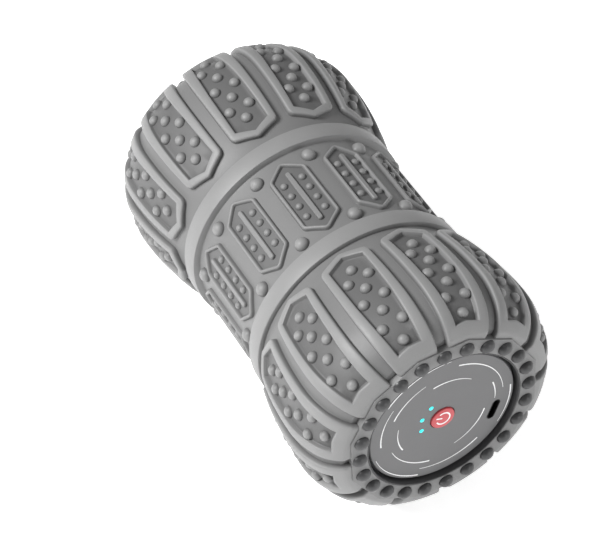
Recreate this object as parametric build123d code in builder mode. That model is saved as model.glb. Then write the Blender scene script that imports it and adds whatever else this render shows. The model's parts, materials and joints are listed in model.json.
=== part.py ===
from build123d import *
from math import cos, degrees, radians, sin, sqrt
import os

os.makedirs("parts", exist_ok=True)

# A hand-held vibrating massage roller: a peanut-shaped silicone sleeve over a hard two-part core
# with a motor, two eccentric weights, two battery cells and a control board inside.
# Millimetres. The roller lies on its side with its axis along Y, the control end faces -Y and +Z
# is up. The origin is the centre of the roller, on its axis.
# Angles round the axis run clockwise from +Z, seen from the control end.

# Overall sizes
roller_diameter = 100.0
half_length = 84.4          # centre to the flat face of either end ring
waist_diameter = 83.4       # floor of the waist, between its pads

# Silicone sleeve: lobes
relief = 2.2                # height of the tread frames over the lobe's floor
frame_count = 12
frame_half_angle = 12.3
frame_rim = 3.2
frame_outer_setback = 0.5   # frames stop this far short of the end ring's face
chevron_rise = 3.5          # how far the waist end of a frame is pointed
rim_trim = 0.4              # the rim is this much narrower at that end
frame_sink = 0.6            # frames, pads and nubs reach this far under the surface
cut_depth = 8.0             # cuts start this far under the waist's floor
cut_margin = 1.0            # and run this far past the edge that they cut
pocket_depth = 1.9
front_twist = -15.0         # angle of one frame of the front lobe
rear_twist = -10.3          # and of one frame of the rear lobe
crest_to_end = 21.4         # from the widest ring of the lobe to the end
crest_radius = 31.6         # profile arc outside the widest ring
shoulder_turn = 24.3        # slope where that arc meets the shoulder arc
shoulder_radius = 15.9
end_turn = 70.0             # slope where the shoulder ends
flank_drop = 4.6            # fall from the widest ring to the start of the frames
flank_start = 32.0          # start of the frames, from the centre

# Silicone sleeve: waist
collar_inner = 22.0
collar_outer = 29.7
collar_height = 2.8
pad_height = 1.5
pad_half_width = 7.75
pad_corner = 13.2
pad_point = 19.2
pad_rim = 2.0
bar_width = 2.2
bar_half_length = 12.2
nub_radius = 2.65
nub_place = 17.1
nub_sink = 0.4

# Skin and core
waist_skin = 3.5
lobe_skin = 4.2
core_wall = 2.6
end_wall = 2.8
fit_gap = 0.1               # clearance between pieces that stay still together
moving_gap = 0.3            # clearance beside a piece that moves

# End rings
ring_depth = 4.4
stud_radius = 2.95
stud_sink = 0.85            # depth of a stud's centre under the ring's face
stud_count = 24
stud_ring_base = 1.4        # thickness of the hard ring that carries the studs
stud_ring_collar = 0.5
peg_radius = 2.2
stud_peg_overlap = 1.0      # how far a peg reaches into its stud
ring_gap = 1.1              # open gap round the end plates

# End plates
plate_radius = 29.1
plate_recess = 1.8
plate_edge = 0.4            # bevel round a plate's face
neck_setback = 2.2          # the neck is this much smaller than the plate
neck_wall = 1.7
flange_lip = 2.1
flange_thickness = 1.5
seal_width = 1.6
seal_squash = 0.8

# Power button
button_radius = 4.7
button_proud = 0.6
button_edge = 0.4
button_travel = 0.5
button_flange = 1.5
button_flange_thickness = 1.0
button_stem_radius = 1.8

# Control board
board_front = 10.6          # from the plate's face to the board
board_thickness = 1.6
board_gap = 0.4             # between the board's edge and the neck
boss_setback = 5.8          # from the board's edge to its screws
boss_radius = 2.8
board_screw_radius = 1.0
board_screw_length = 6.0
board_screw_head = 1.9
board_screw_head_height = 1.4
chip_setback = 9.0          # from the screws' circle to the controller's middle
led_circle = 8.7
led_step = 37.5
lens_radius = 0.9
lens_flange = 1.6
lens_flange_thickness = 1.0
lamp_size = (2.0, 1.6)
lamp_height = 1.0
panel_up = -67.5            # direction of the middle lamp
switch_size = 6.0
switch_height = 3.5
plunger_radius = 1.7
plunger_sink = 1.0          # how far the plunger stands in the switch
plunger_rise = 1.5          # and how far out of it

# Charging port
port_setback = 6.6          # from the plate's edge to the middle of the port
port_width = 9.3
port_height = 3.4
port_shell_width = 8.94
port_shell_height = 3.2
port_shell_wall = 0.3
port_tongue_width = 6.7
port_tongue_thickness = 0.7
port_sink = 1.2             # from the plate's face to the steel shell
port_floor = 1.5            # thickness of the shell's back
port_tongue_sink = 2.4      # from the shell's mouth to the tongue's tip

# Motor
motor_radius = 18.0
motor_length = 50.0
motor_front = -31.0         # front face of the steel can
can_wall = 1.2
bell_thickness = 4.0
bush_radius = 5.0
bush_length = 4.0
bush_gap = 0.05
shaft_radius = 1.6
magnet_thickness = 2.9
magnet_length = 34.0
magnet_half_angle = 62.0
air_gap = 0.8               # between the magnets and the armature
armature_length = 24.0
winding_count = 5
winding_depth = 4.6         # from the armature's rim to the middle of a winding
winding_radius = 2.9
slot_width = 1.4
winding_overhang = 3.0
commutator_radius = 4.5
commutator_length = 8.0
commutator_slit = 0.5
brush_size = (5.0, 4.0, 3.0)
weight_setback = 4.0        # the weights are this much smaller than the motor
weight_length = 11.0
weight_gap = 3.0
weight_hub = 5.0

# Motor mounting
isolator_thickness = 3.0
isolator_width = 8.0
isolator_inset = 6.0
clamp_wall = 4.0
ear_width = 8.8             # from the clamp to the end of an ear
ear_thickness = 3.0
ear_length = 10.0
ear_screw_setout = 4.3      # from the clamp to the screw in an ear
ear_shift = 8.0             # the ears sit this far inside the rubber rings
clamp_overhang = 2.0        # the clamp runs past the rubber rings
rib_thickness = 1.5
screw_radius = 1.5
screw_head_radius = 2.75
screw_head_height = 2.2
screw_socket = 1.2

# Core screws
core_boss_radius = 3.2
core_boss_reach = 33.0
core_boss_inner = 38.0
core_boss_outer = 9.0       # beyond the widest ring of the lobe
core_screw_length = 14.0
screw_grip = 7.0            # length of a core screw in the upper shell

# Battery
cell_radius = 9.2
cell_length = 65.0
cell_gap = 0.8
cell_setback = 5.0          # inside the widest ring of the lobe
cradle_grip = 1.8           # how far the cradle stops short of a cell's far side
cradle_width = 46.0
cradle_wall = 1.8
strap_thickness = 0.4
strap_width = 8.0

# Wires
wire_radius = 0.8
wire_side = 20.5
wire_rise = 22.0
wire_hole_radius = 2.0
wire_turn = 2.5
wire_clearance = 2.0
motor_wire_spread = 3.0


def around(angle, radius, y=0.0):
    """The point at an angle clockwise from +Z, seen from the control end."""
    return (radius * sin(radians(angle)), y, radius * cos(radians(angle)))


def turned(angle):
    """A turn about the roller's axis, clockwise seen from the control end."""
    return Location((0, 0, 0), (0, angle, 0))


def flat_points(angles, radius):
    """Points on a circle, at those angles, in a sketch that faces the control end."""
    return [(around(angle, radius)[0], around(angle, radius)[2]) for angle in angles]


def half_plane(angle):
    """A sketch plane through the axis: its x runs outwards at the angle, its y along the axis."""
    return Plane(origin=(0, 0, 0), x_dir=around(angle, 1.0), z_dir=around(angle - 90.0, 1.0))


# The lobe's outline is three tangent arcs about fixed centres, so a layer of any depth under the
# surface has the same centres and smaller radii.
crest = roller_diameter / 2
crest_place = half_length - crest_to_end
flank_radius = ((crest_place - flank_start) ** 2 + flank_drop**2) / (2 * flank_drop)
flank_centre = (crest - flank_radius, crest_place)
crest_centre = (crest - crest_radius, crest_place)
shoulder_centre = (
    crest_centre[0] + (crest_radius - shoulder_radius) * cos(radians(shoulder_turn)),
    crest_centre[1] + (crest_radius - shoulder_radius) * sin(radians(shoulder_turn)),
)


def flank_point(place, depth):
    """Radius and place of the inner arc of the outline, at a depth under the surface."""
    rise = sqrt((flank_radius - depth) ** 2 - (crest_place - place) ** 2)
    return (flank_centre[0] + rise, place)


def outer_point(turn, depth):
    """Radius and place of the outer arcs of the outline, by the slope of the surface there."""
    centre, radius = crest_centre, crest_radius
    if turn > shoulder_turn:
        centre, radius = shoulder_centre, shoulder_radius
    reach = radius - depth
    return (centre[0] + reach * cos(radians(turn)), centre[1] + reach * sin(radians(turn)))


def waist_end_points(start, half_angle):
    """Outline, seen from above, of what is cut away to point a block's end towards the waist."""
    side = crest * sin(radians(half_angle)) + cut_margin
    corner, clear = start + chevron_rise, start - cut_margin
    return [(0, start), (side, corner), (side, clear), (-side, clear), (-side, corner), (0, start)]


def lobe_arcs(start, depth, last_turn):
    """Adds the lobe's outline to a BuildLine, and returns its two ends."""
    first = flank_point(start, depth)
    middle = flank_point((start + crest_place) / 2, depth)
    top = outer_point(0.0, depth)
    shoulder = outer_point(shoulder_turn, depth)
    last = outer_point(last_turn, depth)
    ThreePointArc(first, middle, top)
    ThreePointArc(top, outer_point(shoulder_turn / 2, depth), shoulder)
    ThreePointArc(shoulder, outer_point((shoulder_turn + last_turn) / 2, depth), last)
    return first, last


# Places along the axis, from the centre
core_end = half_length - ring_depth
plate_face = half_length - plate_recess
neck_radius = plate_radius - neck_setback
neck_inside = neck_radius - neck_wall
flange_radius = neck_radius + flange_lip
board_radius = neck_inside - board_gap
boss_circle = board_radius - boss_setback
port_circle = plate_radius - port_setback
wall_back = core_end - end_wall
flange_back = wall_back - fit_gap - flange_thickness
core_depth = relief + lobe_skin
inside_depth = core_depth + core_wall
waist_floor = waist_diameter / 2
core_waist = waist_floor - waist_skin
inside_waist = core_waist - core_wall
core_flank = collar_outer + 6.0
core_last_turn = 60.0
bore_radius = neck_radius + fit_gap
ring_vertex = outer_point(end_turn, 0.0)[0]
ring_apothem = ring_vertex * cos(radians(180.0 / frame_count))
ring_bore = plate_radius + ring_gap
core_corner = ring_apothem - 0.5
hollow_end = core_end + fit_gap
frame_step = 360.0 / frame_count


def core_outline(depth, waist, end, corner):
    """One half of the core's outline, from the middle to the end wall, in a BuildLine."""
    first, last = lobe_arcs(core_flank, depth, core_last_turn)
    Polyline((waist, 0), (waist, collar_inner + 2.0), first)
    Polyline(last, (corner, end), (0, end), (0, 0), (waist, 0))


# ---------------------------------------------------------------- silicone sleeve
# Base of the sleeve: the floor of the tread, the waist with its two smooth collars, and the end
# walls that turn in behind the end rings.
sleeve_end = outer_point(end_turn, relief)[1]
with BuildPart() as sleeve_base:
    with BuildSketch():
        with BuildLine():
            lobe_first, lobe_last = lobe_arcs(collar_outer, relief, end_turn)
            collar_top = waist_floor + collar_height
            Polyline(
                (0, 0),
                (waist_floor, 0),
                (waist_floor, collar_inner),
                (collar_top, collar_inner),
                (collar_top, collar_outer),
                lobe_first,
            )
            Polyline(lobe_last, (0, sleeve_end), (0, 0))
        make_face()
        mirror(about=Plane.XZ)
    revolve(axis=Axis.Y)

# One tread frame of a lobe, on top of the rear lobe: a raised block with a pointed waist end and
# a sunken middle that leaves a rim all round.
rim_angle = degrees(frame_rim / crest)
with BuildPart() as lobe_frame:
    with BuildSketch(half_plane(-frame_half_angle)):
        with BuildLine():
            low_first, low_last = lobe_arcs(flank_start, relief + frame_sink, end_turn)
            top_first, top_last = lobe_arcs(flank_start, 0.0, end_turn)
            Line(low_first, top_first)
            Line(low_last, top_last)
        make_face()
    revolve(axis=Axis.Y, revolution_arc=2 * frame_half_angle)
    with BuildSketch(Plane.XY.offset(waist_floor - cut_depth)):
        with BuildLine():
            Polyline(*waist_end_points(flank_start, frame_half_angle))
        make_face()
    extrude(amount=crest, mode=Mode.SUBTRACT)
    with BuildSketch(Plane.XZ.offset(-(half_length - frame_outer_setback))):
        Circle(crest)
    extrude(amount=-ring_depth, mode=Mode.SUBTRACT)

# The sunken middle of that frame, cut out of it
pocket_half_angle = frame_half_angle - rim_angle
pocket_start = flank_start + frame_rim - rim_trim
pocket_last_turn = end_turn - degrees(frame_rim / shoulder_radius)
with BuildPart() as lobe_pocket:
    with BuildSketch(half_plane(-pocket_half_angle)):
        with BuildLine():
            low_first, low_last = lobe_arcs(pocket_start, pocket_depth, pocket_last_turn)
            top_first, top_last = lobe_arcs(pocket_start, -2 * cut_margin, pocket_last_turn)
            Line(low_first, top_first)
            Line(low_last, top_last)
        make_face()
    revolve(axis=Axis.Y, revolution_arc=2 * pocket_half_angle)
    with BuildSketch(Plane.XY.offset(waist_floor - cut_depth)):
        with BuildLine():
            Polyline(*waist_end_points(pocket_start, pocket_half_angle))
        make_face()
    extrude(amount=crest, mode=Mode.SUBTRACT)
lobe_tread = lobe_frame.part - lobe_pocket.part

# One hexagonal pad of the waist, with a rim, a sunken floor and a bar down its middle
pad_top = waist_floor + pad_height
pad_half_angle = degrees(pad_half_width / pad_top)
with BuildPart() as waist_pad:
    with BuildSketch(Plane.XY):
        Polygon(
            (pad_half_width, -pad_corner),
            (pad_half_width, pad_corner),
            (0, pad_point),
            (-pad_half_width, pad_corner),
            (-pad_half_width, -pad_corner),
            (0, -pad_point),
            align=None,
        )
        offset(amount=-pad_rim, kind=Kind.INTERSECTION, mode=Mode.SUBTRACT)
        SlotOverall(2 * bar_half_length, bar_width, rotation=90)
    extrude(amount=pad_top + cut_margin)
    with BuildSketch(Plane.XZ.offset(-pad_point)):
        Circle(pad_top)
        Circle(waist_floor - frame_sink, mode=Mode.SUBTRACT)
    extrude(amount=2 * pad_point, mode=Mode.INTERSECT)

waist_angles = [rear_twist + frame_step * k for k in range(frame_count)]
front_angles = [front_twist + frame_step * k for k in range(frame_count)]
nub_angles = [angle + frame_step / 2 for angle in waist_angles]
with BuildPart() as silicone_sleeve:
    add(sleeve_base.part)
    with Locations(*[turned(angle) for angle in waist_angles]):
        add(lobe_tread)
    with Locations(*[turned(angle) * Location((0, 0, 0), (0, 0, 180)) for angle in front_angles]):
        add(lobe_tread)
    with Locations(*[turned(angle) for angle in waist_angles]):
        add(waist_pad.part)
    for nub_y in (-nub_place, nub_place):
        with Locations(*[around(angle, waist_floor - nub_sink, nub_y) for angle in nub_angles]):
            Sphere(nub_radius)
    # The hollow that the core fills
    with BuildSketch():
        with BuildLine():
            core_outline(
                core_depth - fit_gap, core_waist + fit_gap, hollow_end, core_corner + fit_gap
            )
        make_face()
        mirror(about=Plane.XZ)
    revolve(axis=Axis.Y, mode=Mode.SUBTRACT)
    # The many-sided mouths that the end rings sit in
    for side, twist in ((1, front_twist), (-1, rear_twist)):
        with BuildSketch(Plane.XZ.offset(side * hollow_end)):
            mouth_radius = (ring_apothem + fit_gap) / cos(radians(frame_step / 2))
            RegularPolygon(mouth_radius, frame_count, rotation=90.0 - twist)
        extrude(amount=side * ring_depth * 3, mode=Mode.SUBTRACT)
silicone_sleeve.part.label = "silicone_sleeve"
export_step(silicone_sleeve.part, "parts/silicone_sleeve.step")

# ---------------------------------------------------------------- core shells
# The hard core is one hollow body, cut along z = 0 into an upper and a lower shell. Ribs hold the
# motor clamp and the battery cradle, and eight bosses take the screws that close it.
clamp_inside = motor_radius + isolator_thickness + 2 * fit_gap
clamp_outside = clamp_inside + clamp_wall
ear_reach = clamp_outside + ear_width
ear_screw = clamp_outside + ear_screw_setout
motor_back = motor_front + motor_length
isolator_starts = (
    motor_front + isolator_inset,
    motor_back - isolator_inset - isolator_width,
)
cell_place = crest_place - cell_setback
cell_pitch = 2 * cell_radius + cell_gap
cradle_depth = 2 * (cell_radius + fit_gap + cradle_wall)
cradle_height = cell_pitch + 2 * (cell_radius + fit_gap - cradle_grip)
cradle_front = cell_place - cradle_depth / 2
cradle_back = cell_place + cradle_depth / 2
motor_rib_starts = [start + (isolator_width - rib_thickness) / 2 for start in isolator_starts]
battery_rib_starts = (cradle_front - fit_gap - rib_thickness, cradle_back + fit_gap)
battery_rib_inside = cradle_height / 2 - 2.0
boss_points = [
    (side * core_boss_reach, end * place)
    for side in (-1, 1)
    for end in (-1, 1)
    for place in (core_boss_inner, crest_place + core_boss_outer)
]
head_seat = core_screw_length - screw_grip
pilot_depth = screw_grip + 1.0

# The ribs and bosses are trimmed to a shape that ends inside the core's wall
rib_end = core_wall / 2
with BuildPart() as rib_limit:
    with BuildSketch():
        with BuildLine():
            core_outline(
                core_depth + rib_end,
                core_waist - rib_end,
                core_end - rib_end,
                core_corner - rib_end,
            )
        make_face()
        mirror(about=Plane.XZ)
    revolve(axis=Axis.Y)

with BuildPart() as core_ribs:
    for start in motor_rib_starts:
        with BuildSketch(Plane.XZ.offset(-start)):
            Circle(core_waist)
            Circle(clamp_outside + fit_gap, mode=Mode.SUBTRACT)
            ear_slot = (2 * (ear_reach + moving_gap), 2 * (ear_thickness + fit_gap))
            Rectangle(*ear_slot, mode=Mode.SUBTRACT)
            with Locations((wire_side, wire_rise), (wire_side, -wire_rise)):
                Circle(wire_hole_radius, mode=Mode.SUBTRACT)
        extrude(amount=-rib_thickness)
    for start in battery_rib_starts:
        with BuildSketch(Plane.XZ.offset(-start)):
            Circle(crest - core_depth - 0.5)
            Circle(battery_rib_inside, mode=Mode.SUBTRACT)
            with Locations((wire_side, wire_rise), (wire_side, -wire_rise)):
                Circle(wire_hole_radius, mode=Mode.SUBTRACT)
        extrude(amount=-rib_thickness)
    with Locations(*[(x, y, 0) for x, y in boss_points]):
        Cylinder(core_boss_radius, 2 * crest)
    add(rib_limit.part, mode=Mode.INTERSECT)

# Each shell is half a turn of the core's section, with its share of the ribs and bosses. The upper
# one has the screws' pilot holes, and the lower one lets the screws through and sinks their heads.
for name, start_angle, side in (("core_shell_upper", -90.0, 1), ("core_shell_lower", 90.0, -1)):
    with BuildPart() as core_shell:
        with BuildSketch(half_plane(start_angle)):
            with BuildLine():
                core_outline(core_depth, core_waist, core_end, core_corner)
            make_face()
            mirror(about=Plane.XZ)
        revolve(axis=Axis.Y, revolution_arc=180.0)
        with BuildSketch():
            with BuildLine():
                core_outline(inside_depth, inside_waist, wall_back, core_corner - core_wall)
            make_face()
            mirror(about=Plane.XZ)
        revolve(axis=Axis.Y, mode=Mode.SUBTRACT)
        with BuildSketch(Plane.XZ.offset(-core_end)):
            Circle(bore_radius)
        extrude(amount=2 * core_end, mode=Mode.SUBTRACT)
        add(core_ribs.part)
        with Locations((0, 0, -side * crest)):
            Box(2 * crest, 2 * half_length, 2 * crest, mode=Mode.SUBTRACT)
        if side > 0:
            with Locations(*[(x, y, 0) for x, y in boss_points]):
                Cylinder(screw_radius, 2 * pilot_depth, mode=Mode.SUBTRACT)
        else:
            with Locations(*[(x, y, 0) for x, y in boss_points]):
                Cylinder(screw_radius + fit_gap, 2 * head_seat, mode=Mode.SUBTRACT)
            with Locations(*[(x, y, -head_seat - crest / 2) for x, y in boss_points]):
                Cylinder(screw_head_radius + fit_gap, crest, mode=Mode.SUBTRACT)
    core_shell.part.label = name
    export_step(core_shell.part, f"parts/{name}.step")

with BuildPart() as core_screws:
    for x, y in boss_points:
        with BuildSketch(Plane((x, y, -head_seat))):
            Circle(screw_head_radius)
        extrude(amount=-screw_head_height)
        with BuildSketch(Plane((x, y, -head_seat))):
            Circle(screw_radius - fit_gap / 2)
        extrude(amount=core_screw_length)
        with BuildSketch(Plane((x, y, -head_seat - screw_head_height))):
            RegularPolygon(screw_socket, 6)
        extrude(amount=screw_socket, mode=Mode.SUBTRACT)
core_screws.part.label = "core_screws"
export_step(core_screws.part, "parts/core_screws.step")

# ---------------------------------------------------------------- end rings and plates
# Each end ring is a twelve-sided silicone ring that closes the sleeve's mouth. Behind it sits a
# hard stud ring. Its collar lines the opening, and its pegs come through holes in the end ring and
# end in round studs that hold the end ring down.
stud_circle = (ring_bore + ring_vertex) / 2
stud_ring_back = core_end + fit_gap
stud_ring_face = stud_ring_back + stud_ring_base
collar_radius = ring_bore + stud_ring_collar
for end_name, side, twist in (("front", 1, front_twist), ("rear", -1, rear_twist)):
    stud_angles = [twist + 360.0 / stud_count * k for k in range(stud_count)]
    stud_places = flat_points(stud_angles, stud_circle)
    with BuildPart() as end_ring:
        with BuildSketch(Plane.XZ.offset(side * stud_ring_face)):
            RegularPolygon(ring_vertex, frame_count, rotation=90.0 - twist)
            Circle(collar_radius + fit_gap, mode=Mode.SUBTRACT)
            with Locations(*stud_places):
                Circle(peg_radius + fit_gap, mode=Mode.SUBTRACT)
        extrude(amount=side * (half_length - stud_ring_face))
    end_ring.part.label = f"{end_name}_end_ring"
    export_step(end_ring.part, f"parts/{end_name}_end_ring.step")

    with BuildPart() as stud_heads:
        stud_y = -side * (half_length - stud_sink)
        with Locations(*[around(angle, stud_circle, stud_y) for angle in stud_angles]):
            Sphere(stud_radius)
        with BuildSketch(Plane.XZ.offset(side * half_length)):
            Circle(crest)
        extrude(amount=-side * ring_depth, mode=Mode.SUBTRACT)
    with BuildPart() as stud_ring:
        with BuildSketch(Plane.XZ.offset(side * stud_ring_back)):
            Circle(stud_circle + peg_radius + stud_ring_collar)
            Circle(ring_bore, mode=Mode.SUBTRACT)
        extrude(amount=side * stud_ring_base)
        with BuildSketch(Plane.XZ.offset(side * stud_ring_back)):
            Circle(collar_radius)
            Circle(ring_bore, mode=Mode.SUBTRACT)
        extrude(amount=side * (half_length - fit_gap - stud_ring_back))
        with BuildSketch(Plane.XZ.offset(side * stud_ring_back)):
            with Locations(*stud_places):
                Circle(peg_radius)
        extrude(amount=side * (half_length + stud_peg_overlap - stud_ring_back))
        add(stud_heads.part)
    stud_ring.part.label = f"{end_name}_stud_ring"
    export_step(stud_ring.part, f"parts/{end_name}_stud_ring.step")

# Each end plate is a disc with a neck that the two core shells close round, and a flange inside.
port_angle = panel_up + 180.0
boss_angles = [port_angle + 60.0 + 120.0 * k for k in range(3)]
led_angles = [panel_up + led_step * k for k in (-1, 0, 1)]
board_face = plate_face - board_front
with BuildPart() as end_plate:
    with BuildSketch():
        with BuildLine():
            Polyline(
                (0, plate_face),
                (plate_radius - plate_edge, plate_face),
                (plate_radius, plate_face - plate_edge),
                (plate_radius, core_end + seal_squash),
                (neck_radius, core_end + seal_squash),
                (neck_radius, flange_back + flange_thickness),
                (flange_radius, flange_back + flange_thickness),
                (flange_radius, flange_back),
                (neck_inside, flange_back),
                (neck_inside, core_end),
                (0, core_end),
                (0, plate_face),
            )
        make_face()
    revolve(axis=Axis.Y)

with BuildPart() as rear_cover:
    add(end_plate.part)
rear_cover.part.label = "rear_cover"
export_step(rear_cover.part, "parts/rear_cover.step")

with BuildPart() as control_panel:
    with Locations((0, 0, 0)):
        add(end_plate.part, rotation=(0, 0, 180))
    with BuildSketch(Plane.XZ.offset(board_face)):
        with Locations(*flat_points(boss_angles, boss_circle)):
            Circle(boss_radius)
    extrude(amount=core_end - board_face)
    with BuildSketch(Plane.XZ.offset(board_face)):
        with Locations(*flat_points(boss_angles, boss_circle)):
            Circle(board_screw_radius)
    extrude(amount=board_screw_length - board_thickness + 0.5, mode=Mode.SUBTRACT)
    with BuildSketch(Plane.XZ.offset(core_end - 1.0)):
        Circle(button_radius + moving_gap)
        with Locations(*flat_points(led_angles, led_circle)):
            Circle(lens_radius + fit_gap / 2)
        port_x, port_y, port_z = around(port_angle, port_circle)
        with Locations((port_x, port_z)):
            SlotOverall(port_width, port_height, rotation=-port_angle)
    extrude(amount=ring_depth, mode=Mode.SUBTRACT)
control_panel.part.label = "control_panel"
export_step(control_panel.part, "parts/control_panel.step")

# A flat rubber seal under the rim of each plate
for name, side in (("panel_seal", 1), ("cover_seal", -1)):
    with BuildPart() as seal:
        with BuildSketch(Plane.XZ.offset(side * core_end)):
            Circle(neck_radius + fit_gap + seal_width)
            Circle(neck_radius + fit_gap, mode=Mode.SUBTRACT)
        extrude(amount=side * seal_squash)
    seal.part.label = name
    export_step(seal.part, f"parts/{name}.step")

# ---------------------------------------------------------------- button, lamps and board
# The power button has a bevelled face, a flange that keeps it in, and a stem that works the switch.
button_face = plate_face + button_proud
flange_front = core_end - moving_gap
plunger_top = board_face + switch_height + plunger_rise
with BuildPart() as power_button:
    with BuildSketch():
        with BuildLine():
            Polyline((0, plunger_top), (button_stem_radius, plunger_top))
            Polyline(
                (button_stem_radius, plunger_top),
                (button_stem_radius, flange_front - button_flange_thickness),
                (button_radius + button_flange, flange_front - button_flange_thickness),
                (button_radius + button_flange, flange_front),
                (button_radius, flange_front),
                (button_radius, button_face - button_edge),
                (button_radius - button_edge, button_face),
                (0, button_face),
                (0, plunger_top),
            )
        make_face()
    revolve(axis=Axis.Y)
power_button_part = power_button.part.rotate(Axis.Z, 180)
power_button_part.label = "power_button"
export_step(power_button_part, "parts/power_button.step")

switch_top = board_face + switch_height
plunger_bottom = switch_top - plunger_sink
with BuildPart() as switch_plunger:
    with BuildSketch(Plane.XZ.offset(plunger_bottom)):
        Circle(plunger_radius)
    extrude(amount=plunger_top - plunger_bottom)
switch_plunger.part.label = "switch_plunger"
export_step(switch_plunger.part, "parts/switch_plunger.step")

with BuildPart() as switch_body:
    with BuildSketch(Plane.XZ.offset(board_face)):
        Rectangle(switch_size, switch_size, rotation=-panel_up)
    extrude(amount=switch_height)
    with BuildSketch(Plane.XZ.offset(switch_top)):
        Circle(plunger_radius + moving_gap)
    extrude(amount=-(plunger_sink + button_travel + moving_gap), mode=Mode.SUBTRACT)
switch_body.part.label = "switch_body"
export_step(switch_body.part, "parts/switch_body.step")

with BuildPart() as status_lamps:
    for angle in led_angles:
        x, y, z = around(angle, led_circle, -board_face)
        with BuildSketch(Plane((x, y, z), x_dir=around(angle + 90.0, 1.0), z_dir=(0, -1, 0))):
            Rectangle(*lamp_size)
        extrude(amount=lamp_height)
status_lamps.part.label = "status_lamps"
export_step(status_lamps.part, "parts/status_lamps.step")

with BuildPart() as lamp_lenses:
    for angle in led_angles:
        x, y, z = around(angle, led_circle)
        with BuildSketch(Plane.XZ.offset(board_face + lamp_height + fit_gap)):
            with Locations((x, z)):
                Circle(lens_radius)
        extrude(amount=board_front - lamp_height - fit_gap)
        with BuildSketch(Plane.XZ.offset(core_end)):
            with Locations((x, z)):
                Circle(lens_flange)
        extrude(amount=-lens_flange_thickness)
lamp_lenses.part.label = "lamp_lenses"
export_step(lamp_lenses.part, "parts/lamp_lenses.step")

with BuildPart() as control_board:
    with BuildSketch(Plane.XZ.offset(board_face)):
        Circle(board_radius)
        with Locations(*flat_points(boss_angles, boss_circle)):
            Circle(board_screw_radius + fit_gap, mode=Mode.SUBTRACT)
    extrude(amount=-board_thickness)
control_board.part.label = "control_board"
export_step(control_board.part, "parts/control_board.step")

board_back = board_face - board_thickness
with BuildPart() as board_screws:
    for angle in boss_angles:
        x, y, z = around(angle, boss_circle)
        with BuildSketch(Plane.XZ.offset(board_back)):
            with Locations((x, z)):
                Circle(board_screw_head)
        extrude(amount=-board_screw_head_height)
        with BuildSketch(Plane.XZ.offset(board_back)):
            with Locations((x, z)):
                Circle(board_screw_radius - fit_gap / 2)
        extrude(amount=board_screw_length)
board_screws.part.label = "board_screws"
export_step(board_screws.part, "parts/board_screws.step")

# Chips on the back of the board: motor driver, controller and the coil of the charger
chip_places = {"driver": (-8.0, 4.0, 6.0, 5.0, 1.5), "coil": (7.0, 2.0, 5.0, 5.0, 3.0)}
chip_places["controller"] = (0.0, chip_setback - boss_circle, 7.0, 7.0, 1.2)
with BuildPart() as board_chips:
    for x, z, width, depth, height in chip_places.values():
        with BuildSketch(Plane.XZ.offset(board_back)):
            with Locations((x, z)):
                Rectangle(width, depth)
        extrude(amount=-height)
board_chips.part.label = "board_chips"
export_step(board_chips.part, "parts/board_chips.step")

# The charging port: a steel shell with a plastic tongue, standing on the board
port_plane = Plane(
    around(port_angle, port_circle, -board_face),
    x_dir=around(port_angle + 90.0, 1.0),
    z_dir=(0, -1, 0),
)
port_depth = board_front - port_sink
with BuildPart() as port_shell:
    with BuildSketch(port_plane):
        SlotOverall(port_shell_width, port_shell_height)
    extrude(amount=port_depth)
    with BuildSketch(port_plane.offset(port_floor)):
        SlotOverall(port_shell_width - 2 * port_shell_wall, port_shell_height - 2 * port_shell_wall)
    extrude(amount=port_depth, mode=Mode.SUBTRACT)
port_shell.part.label = "port_shell"
export_step(port_shell.part, "parts/port_shell.step")

with BuildPart() as port_tongue:
    with BuildSketch(port_plane.offset(port_floor)):
        Rectangle(port_tongue_width, port_tongue_thickness)
    extrude(amount=port_depth - port_tongue_sink)
port_tongue.part.label = "port_tongue"
export_step(port_tongue.part, "parts/port_tongue.step")

# ---------------------------------------------------------------- motor
# A steel can with two magnets, a plastic end bell at the control end, and a bush at each end.
bell_front = motor_front - bell_thickness
with BuildPart() as motor_can:
    with BuildSketch(Plane.XZ.offset(-motor_front)):
        Circle(motor_radius)
    extrude(amount=-motor_length)
    with BuildSketch(Plane.XZ.offset(-motor_front)):
        Circle(motor_radius - can_wall)
    extrude(amount=-(motor_length - can_wall), mode=Mode.SUBTRACT)
    with BuildSketch(Plane.XZ.offset(-motor_back)):
        Circle(bush_radius + can_wall)
    extrude(amount=-(bush_length - can_wall))
    with BuildSketch(Plane.XZ.offset(-(motor_back - can_wall))):
        Circle(bush_radius + fit_gap / 2)
    extrude(amount=-bush_length, mode=Mode.SUBTRACT)
motor_can.part.label = "motor_can"
export_step(motor_can.part, "parts/motor_can.step")

with BuildPart() as motor_end_bell:
    with BuildSketch(Plane.XZ.offset(-bell_front)):
        Circle(motor_radius)
        Circle(bush_radius + fit_gap / 2, mode=Mode.SUBTRACT)
    extrude(amount=-bell_thickness)
motor_end_bell.part.label = "motor_end_bell"
export_step(motor_end_bell.part, "parts/motor_end_bell.step")

with BuildPart() as motor_bushes:
    for start in (bell_front, motor_back - can_wall):
        with BuildSketch(Plane.XZ.offset(-start)):
            Circle(bush_radius)
            Circle(shaft_radius + bush_gap, mode=Mode.SUBTRACT)
        extrude(amount=-bush_length)
motor_bushes.part.label = "motor_bushes"
export_step(motor_bushes.part, "parts/motor_bushes.step")

magnet_outside = motor_radius - can_wall - fit_gap
armature_middle = motor_back - can_wall - 3.0 - magnet_length / 2
with BuildPart() as motor_magnets:
    for angle in (0.0, 180.0):
        start = half_plane(angle - magnet_half_angle)
        with BuildSketch(start):
            with Locations((magnet_outside - magnet_thickness / 2, armature_middle)):
                Rectangle(magnet_thickness, magnet_length)
        revolve(axis=Axis.Y, revolution_arc=2 * magnet_half_angle)
motor_magnets.part.label = "motor_magnets"
export_step(motor_magnets.part, "parts/motor_magnets.step")

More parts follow.
